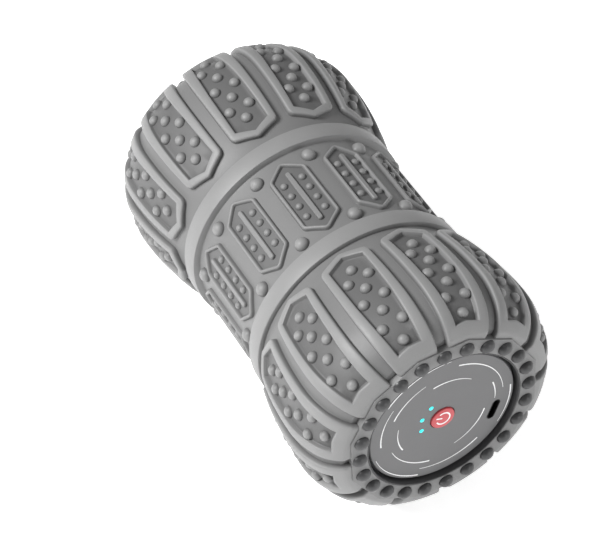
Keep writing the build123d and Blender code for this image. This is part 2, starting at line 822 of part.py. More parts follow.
weight_radius = motor_radius - weight_setback
weight_rear_start = motor_back + bush_length - can_wall + weight_gap
weight_front_end = bell_front - weight_gap
shaft_start = weight_front_end - weight_length - 2.0
shaft_end = weight_rear_start + weight_length + 2.0
with BuildPart() as motor_shaft:
    with BuildSketch(Plane.XZ.offset(-shaft_start)):
        Circle(shaft_radius)
    extrude(amount=-(shaft_end - shaft_start))
    chamfer(motor_shaft.edges().filter_by(GeomType.CIRCLE), length=0.3)
motor_shaft.part.label = "motor_shaft"
export_step(motor_shaft.part, "parts/motor_shaft.step")

armature_radius = magnet_outside - magnet_thickness - air_gap
winding_circle = armature_radius - winding_depth
winding_angles = [360.0 / winding_count * k for k in range(winding_count)]
winding_points = flat_points(winding_angles, winding_circle)
with BuildPart() as armature_core:
    with BuildSketch(Plane.XZ.offset(-(armature_middle - armature_length / 2))):
        Circle(armature_radius)
        Circle(shaft_radius + fit_gap / 2, mode=Mode.SUBTRACT)
        with Locations(*winding_points):
            Circle(winding_radius + fit_gap, mode=Mode.SUBTRACT)
        with PolarLocations(armature_radius, winding_count, start_angle=90.0):
            Rectangle(2 * winding_depth, slot_width, mode=Mode.SUBTRACT)
    extrude(amount=-armature_length)
armature_core.part.label = "armature_core"
export_step(armature_core.part, "parts/armature_core.step")

with BuildPart() as armature_windings:
    with BuildSketch(Plane.XZ.offset(-(armature_middle - armature_length / 2 - winding_overhang))):
        with Locations(*winding_points):
            Circle(winding_radius)
    extrude(amount=-(armature_length + 2 * winding_overhang))
armature_windings.part.label = "armature_windings"
export_step(armature_windings.part, "parts/armature_windings.step")

commutator_start = motor_front + 1.0
with BuildPart() as commutator:
    with BuildSketch(Plane.XZ.offset(-commutator_start)):
        Circle(commutator_radius)
        Circle(shaft_radius + fit_gap / 2, mode=Mode.SUBTRACT)
    extrude(amount=-commutator_length)
    with BuildSketch(Plane.XZ.offset(-commutator_start)):
        with PolarLocations(commutator_radius, winding_count):
            Rectangle(2 * commutator_slit, commutator_slit)
    extrude(amount=-commutator_length, mode=Mode.SUBTRACT)
commutator.part.label = "commutator"
export_step(commutator.part, "parts/commutator.step")

with BuildPart() as motor_brushes:
    brush_y = commutator_start + commutator_length / 2
    for side in (-1, 1):
        with Locations((side * (commutator_radius + moving_gap + brush_size[0] / 2), brush_y, 0)):
            Box(*brush_size)
motor_brushes.part.label = "motor_brushes"
export_step(motor_brushes.part, "parts/motor_brushes.step")

# Half-round weights on both ends of the shaft, hanging down, each held by a set screw
for name, start in (
    ("front_weight", weight_front_end - weight_length),
    ("rear_weight", weight_rear_start),
):
    with BuildPart() as weight:
        with BuildSketch(Plane.XZ.offset(-start)):
            Circle(weight_radius)
            with Locations((0, weight_radius / 2)):
                Rectangle(2 * weight_radius, weight_radius, mode=Mode.SUBTRACT)
            Circle(weight_hub)
            Circle(shaft_radius + fit_gap / 2, mode=Mode.SUBTRACT)
        extrude(amount=-weight_length)
        with Locations((0, start + weight_length / 2, shaft_radius)):
            Cylinder(
                screw_radius,
                weight_hub,
                align=(Align.CENTER, Align.CENTER, Align.MIN),
                mode=Mode.SUBTRACT,
            )
    weight.part.label = name
    export_step(weight.part, f"parts/{name}.step")

with BuildPart() as weight_screws:
    for start in (weight_front_end - weight_length, weight_rear_start):
        with Locations((0, start + weight_length / 2, shaft_radius + fit_gap / 2)):
            Cylinder(screw_radius - fit_gap / 2, 3.0, align=(Align.CENTER, Align.CENTER, Align.MIN))
weight_screws.part.label = "weight_screws"
export_step(weight_screws.part, "parts/weight_screws.step")

# Rubber rings round the can, held in a two-part clamp with ears
with BuildPart() as motor_isolators:
    for start in isolator_starts:
        with BuildSketch(Plane.XZ.offset(-start)):
            Circle(motor_radius + fit_gap + isolator_thickness)
            Circle(motor_radius + fit_gap, mode=Mode.SUBTRACT)
        extrude(amount=-isolator_width)
motor_isolators.part.label = "motor_isolators"
export_step(motor_isolators.part, "parts/motor_isolators.step")

clamp_front = isolator_starts[0] - clamp_overhang
clamp_length = isolator_starts[1] + isolator_width + clamp_overhang - clamp_front
ear_places = [
    start + isolator_width / 2 + way * ear_shift for start, way in zip(isolator_starts, (1, -1))
]
ear_middle = (clamp_outside + ear_reach) / 2
ear_points = [(side * ear_screw, y) for side in (-1, 1) for y in ear_places]
for name, side, hole in (
    ("motor_clamp_upper", 1, screw_radius + fit_gap),
    ("motor_clamp_lower", -1, screw_radius),
):
    with BuildPart() as clamp:
        with BuildSketch(Plane.XZ.offset(-clamp_front)):
            Circle(clamp_outside)
            Circle(clamp_inside, mode=Mode.SUBTRACT)
        extrude(amount=-clamp_length)
        with Locations(*[(way * ear_middle, y, 0) for way in (-1, 1) for y in ear_places]):
            Box(ear_reach - clamp_outside + 1.0, ear_length, 2 * ear_thickness)
        with Locations((0, 0, -side * crest)):
            Box(2 * crest, 2 * half_length, 2 * crest, mode=Mode.SUBTRACT)
        with Locations(*[(x, y, 0) for x, y in ear_points]):
            Cylinder(hole, 4 * ear_thickness, mode=Mode.SUBTRACT)
    clamp.part.label = name
    export_step(clamp.part, f"parts/{name}.step")

with BuildPart() as clamp_screws:
    for x, y in ear_points:
        with BuildSketch(Plane((x, y, ear_thickness))):
            Circle(screw_head_radius)
        extrude(amount=screw_head_height)
        with BuildSketch(Plane((x, y, ear_thickness))):
            Circle(screw_radius - fit_gap / 2)
        extrude(amount=-2 * ear_thickness)
clamp_screws.part.label = "clamp_screws"
export_step(clamp_screws.part, "parts/clamp_screws.step")

# ---------------------------------------------------------------- battery
# Two round cells across the rear lobe, one over the other, in a moulded cradle
cell_points = [(cell_place, side * cell_pitch / 2) for side in (-1, 1)]
with BuildPart() as battery_cells:
    for y, z in cell_points:
        with BuildSketch(Plane((-cell_length / 2, y, z), x_dir=(0, 1, 0), z_dir=(1, 0, 0))):
            Circle(cell_radius)
        extrude(amount=cell_length)
battery_cells.part.label = "battery_cells"
export_step(battery_cells.part, "parts/battery_cells.step")

with BuildPart() as battery_cradle:
    with Locations((0, cell_place, 0)):
        Box(cradle_width, cradle_depth, cradle_height)
    for y, z in cell_points:
        with BuildSketch(Plane((-cell_length / 2, y, z), x_dir=(0, 1, 0), z_dir=(1, 0, 0))):
            Circle(cell_radius + fit_gap)
        extrude(amount=cell_length, mode=Mode.SUBTRACT)
    with Locations((0, cell_place, 0)):
        Box(cradle_width / 3, 2 * cradle_depth, cell_pitch, mode=Mode.SUBTRACT)
battery_cradle.part.label = "battery_cradle"
export_step(battery_cradle.part, "parts/battery_cradle.step")

# One strip joins the cells at one side; two tabs take the wires at the other
with BuildPart() as cell_strips:
    with Locations((-cell_length / 2 - strap_thickness / 2, cell_place, 0)):
        Box(strap_thickness, strap_width, cell_pitch + strap_width)
    for y, z in cell_points:
        with Locations((cell_length / 2 + strap_thickness / 2, y, z)):
            Box(strap_thickness, strap_width, strap_width)
cell_strips.part.label = "cell_strips"
export_step(cell_strips.part, "parts/cell_strips.step")

# ---------------------------------------------------------------- wires
# Two battery wires run along the core, above and below the clamp, from the tabs to the board; two
# motor wires run from the end bell to the board. Each is a round wire on straight runs and arcs.
tab_x = cell_length / 2 + strap_thickness
with BuildPart() as battery_wires:
    for side in (-1, 1):
        wire_top = cell_pitch / 2 + cell_radius + wire_clearance
        with BuildLine() as route:
            FilletPolyline(
                (tab_x + wire_radius, cell_place, side * (cell_pitch / 2 - 1.0)),
                (tab_x + wire_radius, cell_place, side * wire_top),
                (wire_side + 3.0, cell_place, side * (wire_rise + 4.5)),
                (wire_side, cradle_front + 1.5, side * wire_rise),
                (wire_side, -(board_back - 10.0), side * wire_rise),
                (6.0, -(board_back - 5.0), side * 16.5),
                (6.0, -board_back, side * 16.5),
                radius=wire_turn,
            )
        with BuildSketch(Plane(route.wire() @ 0, z_dir=route.wire() % 0)):
            Circle(wire_radius)
        sweep(path=route.wire())
battery_wires.part.label = "battery_wires"
export_step(battery_wires.part, "parts/battery_wires.step")

motor_wire_side = weight_radius + wire_clearance + 0.2
with BuildPart() as motor_wires:
    for side in (-1, 1):
        with BuildLine() as route:
            FilletPolyline(
                (-motor_wire_side, bell_front, side * motor_wire_spread),
                (-motor_wire_side, -(board_back - 9.0), side * motor_wire_spread),
                (-13.0, -(board_back - 4.0), side * 9.0),
                (-13.0, -board_back, side * 9.0),
                radius=wire_turn,
            )
        with BuildSketch(Plane(route.wire() @ 0, z_dir=route.wire() % 0)):
            Circle(wire_radius)
        sweep(path=route.wire())
motor_wires.part.label = "motor_wires"
export_step(motor_wires.part, "parts/motor_wires.step")
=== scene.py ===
# A rechargeable vibrating massage roller: a peanut-shaped silicone sleeve over a hard core, with a
# studded ring and a plate at each end. It lies on its side and its control end faces -Y. Sizes of
# pieces are in millimetres until they are finished, and the camera, the lamps and the floor are in
# metres. Angles round the roller run clockwise from +Z, seen from the control end.
import json
from math import asin, cos, pi, radians, sin

import bmesh
import bpy
from mathutils import Matrix, Vector

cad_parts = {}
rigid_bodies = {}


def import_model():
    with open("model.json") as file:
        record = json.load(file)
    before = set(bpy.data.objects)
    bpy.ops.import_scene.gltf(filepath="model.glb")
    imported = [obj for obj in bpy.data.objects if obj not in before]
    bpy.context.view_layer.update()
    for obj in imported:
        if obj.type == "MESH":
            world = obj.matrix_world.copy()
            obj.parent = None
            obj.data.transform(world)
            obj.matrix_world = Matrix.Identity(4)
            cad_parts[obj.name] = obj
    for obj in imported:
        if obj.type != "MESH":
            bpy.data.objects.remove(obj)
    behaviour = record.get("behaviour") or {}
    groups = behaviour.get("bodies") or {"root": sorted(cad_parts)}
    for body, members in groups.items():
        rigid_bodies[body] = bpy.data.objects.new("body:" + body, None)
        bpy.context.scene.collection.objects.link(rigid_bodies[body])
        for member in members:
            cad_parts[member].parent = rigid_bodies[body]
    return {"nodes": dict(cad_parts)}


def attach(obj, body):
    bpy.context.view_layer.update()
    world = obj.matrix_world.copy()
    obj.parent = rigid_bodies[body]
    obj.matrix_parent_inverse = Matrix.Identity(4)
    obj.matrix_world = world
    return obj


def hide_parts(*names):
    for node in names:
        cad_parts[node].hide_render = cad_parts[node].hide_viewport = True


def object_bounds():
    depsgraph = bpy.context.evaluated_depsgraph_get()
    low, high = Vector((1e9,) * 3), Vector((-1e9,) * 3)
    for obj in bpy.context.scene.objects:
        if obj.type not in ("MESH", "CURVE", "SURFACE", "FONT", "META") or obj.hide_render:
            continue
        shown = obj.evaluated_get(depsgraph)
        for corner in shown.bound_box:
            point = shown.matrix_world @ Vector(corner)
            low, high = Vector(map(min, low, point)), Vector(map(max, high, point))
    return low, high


for leftover in list(bpy.data.objects):
    bpy.data.objects.remove(leftover)
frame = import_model()
bpy.ops.object.select_all(action="DESELECT")
cad_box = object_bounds()
mm = 0.001


# ---------------------------------------------------------------- camera
# A long lens looks down on the roller from its control end, a little to the left.
def unit(azimuth, elevation):
    """The direction from the roller to a place round it: azimuth 0 is -Y and 90 is +X."""
    flat = cos(radians(elevation))
    return Vector(
        (sin(radians(azimuth)) * flat, -cos(radians(azimuth)) * flat, sin(radians(elevation)))
    )


camera_azimuth = -25.9
camera_roll = -3.83
camera_distance = 0.8417
camera_back = unit(camera_azimuth, 47.28)
camera_level = Vector((cos(radians(camera_azimuth)), sin(radians(camera_azimuth)), 0))
camera_level.rotate(Matrix.Rotation(radians(camera_roll), 3, camera_back))
bpy.ops.object.camera_add(location=camera_back * camera_distance)
camera = bpy.context.object
camera.name = "camera"
camera.data.lens = 137.1
camera.data.shift_x = -0.0478
camera.data.shift_y = -0.0213
camera_axes = Matrix((camera_level, camera_back.cross(camera_level), camera_back)).transposed()
camera.rotation_euler = camera_axes.to_euler()
bpy.context.scene.camera = camera

# ---------------------------------------------------------------- studio
# A white floor under the roller and soft light: a strong lamp high on the left, a broad and weak
# one on the right, and a small one low in front that lights the end plate.
def srgb(code):
    """A colour given as an sRGB hex value, turned to linear."""
    parts = [int(code[i : i + 2], 16) / 255 for i in (1, 3, 5)]
    return tuple(p / 12.92 if p <= 0.04045 else ((p + 0.055) / 1.055) ** 2.4 for p in parts) + (1,)


def add_node(material, kind, settings=(), links=()):
    """Adds a node to a material, with its properties or sockets set and its sockets linked."""
    node = material.node_tree.nodes.new(kind)
    for key, value in dict(settings).items():
        if isinstance(key, str) and hasattr(node, key):
            setattr(node, key, value)
        else:
            node.inputs[key].default_value = value
    for key, output in dict(links).items():
        material.node_tree.links.new(output, node.inputs[key])
    return node


def new_material(name):
    """An empty material, and the object coordinates that its patterns read."""
    material = bpy.data.materials.new(name)
    material.use_nodes = True
    material.node_tree.nodes.clear()
    return material, add_node(material, "ShaderNodeTexCoord").outputs["Object"]


floor_gap = 0.2 * mm
bpy.ops.mesh.primitive_plane_add(size=12, location=(0, 0, cad_box[0].z - floor_gap))
sweep = bpy.context.object
sweep.name = "studio_sweep"
bpy.ops.object.transform_apply()
paper = new_material("white_sweep_paper")[0]
sheet = add_node(
    paper,
    "ShaderNodeBsdfPrincipled",
    {
        "Base Color": srgb("#f4f4f4"),
        "Roughness": 0.9,
        "Specular IOR Level": 0.1,
        "Emission Color": srgb("#ffffff"),
        "Emission Strength": 0.7,
    },
)
add_node(paper, "ShaderNodeOutputMaterial", (), {"Surface": sheet.outputs[0]})
sweep.data.materials.append(paper)

for name, azimuth, elevation, distance, size, power in (
    ("left_soft_lamp", -100, 48, 1.4, 0.5, 26.0),
    ("right_fill_lamp", 70, 30, 1.6, 1.0, 2.0),
    ("front_strip_lamp", 25, 8, 1.2, 0.4, 2.5),
):
    bpy.ops.object.light_add(type="AREA", location=unit(azimuth, elevation) * distance)
    lamp = bpy.context.object
    lamp.name = name
    lamp.data.size = size
    lamp.data.energy = power
    lamp.rotation_euler = (-unit(azimuth, elevation)).to_track_quat("-Z", "Y").to_euler()
world = bpy.context.scene.world or bpy.data.worlds.new("studio")
bpy.context.scene.world = world
world.use_nodes = True
world.node_tree.nodes["Background"].inputs["Color"].default_value = srgb("#ffffff")
world.node_tree.nodes["Background"].inputs["Strength"].default_value = 0.32
bpy.context.scene.view_settings.view_transform = "Standard"


# ---------------------------------------------------------------- silicone sleeve: skin
# The sleeve is one moulding of soft grey silicone, pulled over the core. Its skin is a turned shape:
# the floor of both lobes, the waist, and the two smooth collars between them.
def close_up(piece, doubles=0.002):
    """Merges doubles, drops loose edges and turns the faces of a closed piece outwards."""
    bpy.ops.object.mode_set(mode="EDIT")
    bpy.ops.mesh.select_all(action="SELECT")
    bpy.ops.mesh.remove_doubles(threshold=doubles)
    bpy.ops.mesh.delete_loose()
    # Dropping the loose edges leaves nothing selected
    bpy.ops.mesh.select_all(action="SELECT")
    bpy.ops.mesh.normals_make_consistent(inside=False)
    bpy.ops.object.mode_set(mode="OBJECT")


def lathe(name, outline, steps):
    """Draws a closed outline of (radius, place) points and spins it about the roller's axis."""
    bpy.ops.mesh.primitive_plane_add(size=1)
    piece = bpy.context.object
    piece.name = name
    bpy.ops.object.mode_set(mode="EDIT")
    bpy.ops.mesh.select_mode(type="VERT")
    bpy.ops.mesh.merge(type="CENTER")
    radius, place = outline[0]
    bpy.ops.transform.translate(value=(radius, place, 0))
    for there in outline[1:] + outline[:1]:
        move = (there[0] - radius, there[1] - place, 0)
        bpy.ops.mesh.extrude_region_move(TRANSFORM_OT_translate={"value": move})
        radius, place = there
    bpy.ops.mesh.select_all(action="SELECT")
    bpy.ops.mesh.remove_doubles(threshold=0.002)
    bpy.ops.mesh.spin(steps=steps, angle=2 * pi, center=(0, 0, 0), axis=(0, 1, 0))
    bpy.ops.object.mode_set(mode="OBJECT")
    close_up(piece)
    return piece


# The lobe's outline along the roller is a chain of arcs at the height of the tread: the flank, the
# crest, the shoulder, and the turn into the flat end. Each row gives where the arc starts along the
# outline, its slope there, its centre and its radius.
crest_radius = 50.0
tread_relief = 2.2
lobe_start = 29.7
flank_bend = 106.757
lobe_arcs = []
arc_centre = Vector((crest_radius - flank_bend, 63.0))
arc_turn = -asin((63.0 - lobe_start) / flank_bend)
outline_length = 0.0
arc_bend = flank_bend
for bend, last_turn in ((flank_bend, 0.0), (31.6, 24.3), (15.9, 62.0), (2.5, 90.0)):
    arc_centre = arc_centre + (arc_bend - bend) * Vector((cos(arc_turn), sin(arc_turn)))
    lobe_arcs.append((outline_length, arc_turn, arc_centre, bend))
    outline_length += bend * (radians(last_turn) - arc_turn)
    arc_turn, arc_bend = radians(last_turn), bend


def lobe_point(along, height):
    """Radius and place of a point at a length along the lobe's outline and a height over its floor."""
    start, turn, centre, bend = [arc for arc in lobe_arcs if arc[0] <= max(along, 0.0)][-1]
    turn += (min(along, outline_length) - start) / bend
    reach = bend - tread_relief + height
    straight = max(along - outline_length, 0.0)
    return centre.x + reach * cos(turn) - straight, centre.y + reach * sin(turn)


crest_from, shoulder_from, end_from = (arc[0] for arc in lobe_arcs[1:])
outline_rows = [crest_from * k / 8 for k in range(1, 8)]
outline_rows += [crest_from + (shoulder_from - crest_from) * k / 6 for k in range(6)]
outline_rows += [shoulder_from + (end_from - shoulder_from) * k / 9 for k in range(9)]
outline_rows += [end_from + (outline_length - end_from) * k / 4 for k in range(5)]

waist_radius = 41.7
collar_outline = [(41.7, 21.3), (41.78, 21.7), (42.1, 21.95), (43.9, 22.1), (44.25, 22.28)]
collar_outline += [(44.4, 22.65), (44.6, 28.9), (44.45, 29.35), (44.1, 29.6), (42.75, 29.75)]
half_outline = [(waist_radius, 0.0)] + [(waist_radius, y) for y in (7.0, 14.0)] + collar_outline
half_outline += [lobe_point(along, 0.0) for along in [0.5] + outline_rows]
mouth_radius = 36.3
mouth_back = 80.1
lining_depth = 4.1
lining_start = 8
half_outline += [(mouth_radius, lobe_point(outline_length, 0.0)[1]), (mouth_radius, mouth_back)]
half_lining = [(mouth_radius + 0.15, mouth_back)]
half_lining += [
    lobe_point(along, -lining_depth)
    for along in reversed(outline_rows)
    if lining_start < along < end_from
]
half_lining += [(38.3, 24.0)]
sleeve_outline = half_outline[1:] + half_lining
sleeve_outline = (
    [half_outline[0]] + sleeve_outline + [(r, -y) for r, y in reversed(sleeve_outline)]
)
skin = lathe("silicone_sleeve_moulding", sleeve_outline, 144)


def keep_shade_height(piece, height):
    """Stores how proud of the skin each vertex stands, in mm, which sets the silicone's painted shade.
    """
    heights = piece.data.attributes.new("painted_shade_height", "FLOAT", "POINT").data
    for vertex, kept in zip(piece.data.vertices, heights):
        kept.value = height(vertex.co)


def skin_shade_height(at):
    """Heights for the painted shade: the waist and the lobes' floor get some, the collars none."""
    if abs(at.y) < 22:
        return 1.2
    return tread_relief if abs(at.y) < lobe_start else 1.1


# The skin's painted shade is set from these heights.
keep_shade_height(skin, skin_shade_height)

# ---------------------------------------------------------------- silicone sleeve: lobe frames
# Each lobe has twelve raised frames, moulded with the skin: a pointed waist end, a stepped outer
# wall, and a sunken middle with ten domes. One is drawn flat and laid on the lobe 24 times.
frame_side = 10.73
frame_apex = 2.83
frame_corner = 6.47
frame_sink = 0.6
frame_end = outline_length + 2.05
near_top = tread_relief - 0.01
frame_corner_round = 1.9
frame_apex_round = 0.7


def choose(piece, test, kind="FACE"):
    """Selects the faces or vertices whose middle passes the test, and nothing else."""
    bpy.ops.mesh.select_mode(type=kind)
    bpy.ops.mesh.select_all(action="DESELECT")
    drawn = bmesh.from_edit_mesh(piece.data)
    for part in drawn.faces if kind == "FACE" else drawn.verts:
        middle = part.calc_center_median() if kind == "FACE" else part.co
        if test(middle):
            part.select_set(True)
    drawn.select_flush_mode()
    bmesh.update_edit_mesh(piece.data)


def cut(a, b, **options):
    """Cuts what is selected along the line from a to b; with clear_outer, drops what is right of it."""
    normal = Vector((b[1] - a[1], a[0] - b[0], 0)).normalized()
    bpy.ops.mesh.bisect(plane_co=(*a, 0), plane_no=normal, threshold=0.0005, **options)


def cut_all(a, b, **options):
    bpy.ops.mesh.select_all(action="SELECT")
    cut(a, b, **options)


def steps_in(steps):
    """Insets the selected face step by step: how far in, and how far up."""
    for thickness, depth in steps:
        bpy.ops.mesh.inset(thickness=thickness, depth=depth, use_even_offset=True)


def flat_plate(name, low, high, z):
    """A flat rectangle, open for editing."""
    middle = ((low[0] + high[0]) / 2, (low[1] + high[1]) / 2, z)
    bpy.ops.mesh.primitive_plane_add(size=1, location=middle)
    piece = bpy.context.object
    piece.name = name
    piece.scale = (high[0] - low[0], high[1] - low[1], 1)
    bpy.ops.object.transform_apply()
    bpy.ops.object.mode_set(mode="EDIT")
    return piece


tread = flat_plate("lobe_frame", (-frame_side, frame_apex), (frame_side, frame_end + 1.5), -frame_sink)
cut_all((0, frame_apex), (frame_side, frame_corner), clear_outer=True)
cut_all((-frame_side, frame_corner), (0, frame_apex), clear_outer=True)
choose(tread, lambda at: abs(at.x) > 1 and at.y < frame_corner + 1, "VERT")
bpy.ops.mesh.bevel(offset=frame_corner_round, segments=4, affect="VERTICES")
choose(tread, lambda at: abs(at.x) < 0.1, "VERT")
bpy.ops.mesh.bevel(offset=frame_apex_round, segments=2, affect="VERTICES")
choose(tread, lambda at: True)
bpy.ops.mesh.extrude_region_move(TRANSFORM_OT_translate={"value": (0, 0, frame_sink)})
steps_in(((0.22, 0.12), (0.1, 1.4), (0.2, 0.38), (0.25, 0.2), (0.3, 0.1)))

# The sunken middle: its outline is cut into the top, joined to one face, and sunk step by step
recess_outline = [(0, 5.43), (7.85, 8.84), (7.3, 30.0), (5.85, 54.2), (0, 53.5)]


def in_recess(at):
    side = abs(at.x)
    rows = list(zip(recess_outline, recess_outline[1:]))
    return at.z > near_top and all(
        (b[0] - a[0]) * (at.y - a[1]) - (b[1] - a[1]) * (side - a[0]) > 0 for a, b in rows
    )


for a, b in zip(recess_outline, recess_outline[1:]):
    for way in (-1, 1):
        choose(tread, lambda at: at.z > near_top)
        cut((way * a[0], a[1]), (way * b[0], b[1]))
choose(tread, in_recess)
bpy.ops.mesh.dissolve_faces()
choose(tread, in_recess)
steps_in(((0.22, -0.1), (0.24, -0.25), (0.14, -1.2), (0.2, -0.25), (0.15, -0.1)))
choose(tread, lambda at: at.z > near_top)
bpy.ops.mesh.dissolve_limited(angle_limit=radians(0.5))

# Cuts across and along, so that it can follow the lobe
frame_columns = (-8.7, -5.3, -2.7, 0.0, 2.7, 5.3, 8.7)
for x in frame_columns:
    cut_all((x, 0), (x, 1))
for along in outline_rows:
    if along > frame_apex:
        cut_all((0, along), (1, along))
cut_all((0, frame_end), (-1, frame_end), clear_outer=True, use_fill=True)
bpy.ops.object.mode_set(mode="OBJECT")
close_up(tread, 0.02)


# The domes of a frame, and later the nubs, dots and studs, are copies of one moulded half ball.
def dome(name, radius, segments=16, rings=12):
    bpy.ops.mesh.primitive_uv_sphere_add(radius=radius, segments=segments, ring_count=rings)
    piece = bpy.context.object
    piece.name = name
    bpy.ops.object.mode_set(mode="EDIT")
    bpy.ops.mesh.select_all(action="SELECT")
    bpy.ops.mesh.bisect(plane_co=(0, 0, 0), plane_no=(0, 0, -1), clear_outer=True, use_fill=True)
    bpy.ops.object.mode_set(mode="OBJECT")
    return piece


def copy_to(piece, matrix):
    """A copy of a piece with its own mesh, moved there."""
    copy = piece.copy()
    copy.data = piece.data.copy()
    copy.data.transform(matrix)
    bpy.context.collection.objects.link(copy)
    return copy


def join(pieces):
    """Joins the pieces to the first one."""
    bpy.ops.object.select_all(action="DESELECT")
    for piece in pieces:
        piece.select_set(True)
    bpy.context.view_layer.objects.active = pieces[0]
    bpy.ops.object.join()
    return pieces[0]


dome_radius = 2.25
dome_sink = 0.4
dome_side = 4.3
dome_places = [(0, 13.15), (0, 24.21), (0, 36.17), (0, 49.81)]
dome_places += [(way * dome_side, along) for way in (-1, 1) for along in (18.6, 30.1, 42.58)]
recess_depth = 1.9
recess_floor = tread_relief - recess_depth
half_ball = dome("frame_dome", dome_radius)
domes = []
for x, along in dome_places:
    widen = crest_radius / lobe_point(along, recess_floor)[0]
    place = Matrix.Translation((x, along, recess_floor - dome_sink))
    domes.append(copy_to(half_ball, place @ Matrix.Diagonal((widen, 1, 1, 1))))
bpy.data.objects.remove(half_ball)
tread = join([tread] + domes)
# The frame's height over the skin sets its painted shade, darkest in the sunken middle.
keep_shade_height(tread, lambda at: at.z)


def lay_on_lobe(piece, side, angle):
    """Moves a piece from the flat drawing onto a lobe: side 1 is the rear lobe and -1 the front."""
    for vertex in piece.data.vertices:
        radius, place = lobe_point(vertex.co.y, vertex.co.z)
        turn = radians(angle) + side * vertex.co.x / crest_radius
        vertex.co = (radius * sin(turn), side * place, radius * cos(turn))


front_twist = -15.0
rear_twist = -10.3
tread_parts = []
for side, twist in ((-1, front_twist), (1, rear_twist)):
    for k in range(12):
        laid = copy_to(tread, Matrix.Identity(4))
        lay_on_lobe(laid, side, twist + 30 * k)
        tread_parts.append(laid)
bpy.data.objects.remove(tread)

# ---------------------------------------------------------------- silicone sleeve: waist pads
# Round the waist are twelve hexagonal pads with a rounded rim, a bar and eight dots, and a round
# nub at each end of the gap between two pads. They are moulded with the skin as well.
pad_side = 7.75
pad_corner = 13.2
pad_point = 19.2
pad_sink = 0.6
pad_corner_round = 1.1
pad_point_round = 1.7
pad_columns = (-6.6, -3.7, -1.4, 1.4, 3.7, 6.6)
pad = flat_plate("waist_pad", (-pad_side, -pad_point), (pad_side, pad_point), -pad_sink)
for way in (1, -1):
    cut_all((0, -way * pad_point), (way * pad_side, -way * pad_corner), clear_outer=True)
    cut_all((way * pad_side, way * pad_corner), (0, way * pad_point), clear_outer=True)
choose(pad, lambda at: abs(at.x) > 1, "VERT")
bpy.ops.mesh.bevel(offset=pad_corner_round, segments=3, affect="VERTICES")
choose(pad, lambda at: abs(at.x) < 0.1, "VERT")
bpy.ops.mesh.bevel(offset=pad_point_round, segments=3, affect="VERTICES")
choose(pad, lambda at: True)
bpy.ops.mesh.extrude_region_move(TRANSFORM_OT_translate={"value": (0, 0, pad_sink)})
steps_in(((0.15, 0.15), (0.1, 0.45), (0.12, 0.4), (0.18, 0.28), (0.25, 0.16), (0.2, 0.06)))
steps_in(((0.2, -0.04), (0.2, -0.12), (0.18, -0.24), (0.12, -0.4), (0.15, -0.5)))
for x in pad_columns:
    cut_all((x, 0), (x, 1))
bpy.ops.object.mode_set(mode="OBJECT")
close_up(pad, 0.02)

bar_side = 1.1
bar_end = 13.2
bpy.ops.mesh.primitive_circle_add(vertices=16, radius=bar_side, fill_type="NGON")
bar = bpy.context.object
bar.name = "waist_bar"
bpy.ops.object.mode_set(mode="EDIT")
for way in (-1, 1):
    choose(bar, lambda at: way * at.y > 0.01, "VERT")
    bpy.ops.transform.translate(value=(0, way * (bar_end - bar_side), 0))
choose(bar, lambda at: True)
bpy.ops.mesh.extrude_region_move(TRANSFORM_OT_translate={"value": (0, 0, 0.2)})
steps_in(((0.06, 0.75), (0.15, 0.3), (0.2, 0.15)))
bpy.ops.object.mode_set(mode="OBJECT")
close_up(bar, 0.02)

waist_parts = [pad, bar]
dot_radius = 1.55
dot_side = 3.7
dot_pitch = 5.7
dot = dome("pad_dot", dot_radius, 14, 10)
for x in (-dot_side, dot_side):
    for row in (-1.5, -0.5, 0.5, 1.5):
        waist_parts.append(copy_to(dot, Matrix.Translation((x, row * dot_pitch, 0.0))))
nub_radius = 2.85
nub_place = 17.1
nub_sink = 0.4
nub = dome("waist_nub", nub_radius, 20, 14)
for y in (-nub_place, nub_place):
    middle = (waist_radius * radians(15), y, -nub_sink)
    waist_parts.append(copy_to(nub, Matrix.Translation(middle)))
for maker in (dot, nub):
    bpy.data.objects.remove(maker)
pad = join(waist_parts)
# The pad's height sets its painted shade: its low parts are darker.
keep_shade_height(pad, lambda at: at.z + 0.2)
pad_parts = []
for k in range(12):
    laid = copy_to(pad, Matrix.Identity(4))
    for vertex in laid.data.vertices:
        turn = radians(rear_twist + 30 * k) + vertex.co.x / waist_radius
        radius = waist_radius + vertex.co.z
        vertex.co = (radius * sin(turn), vertex.co.y, radius * cos(turn))
    pad_parts.append(laid)
bpy.data.objects.remove(pad)
skin = join([skin] + tread_parts + pad_parts)


def finish_piece(piece, material, smooth=35):
    """Turns millimetres to metres, smooths the shallow edges, and gives the piece its material."""
    piece.data.transform(Matrix.Scale(mm, 4))
    bpy.ops.object.select_all(action="DESELECT")
    piece.select_set(True)
    bpy.context.view_layer.objects.active = piece
    bpy.ops.object.shade_smooth_by_angle(angle=radians(smooth))
    piece.data.materials.clear()
    piece.data.materials.append(material)
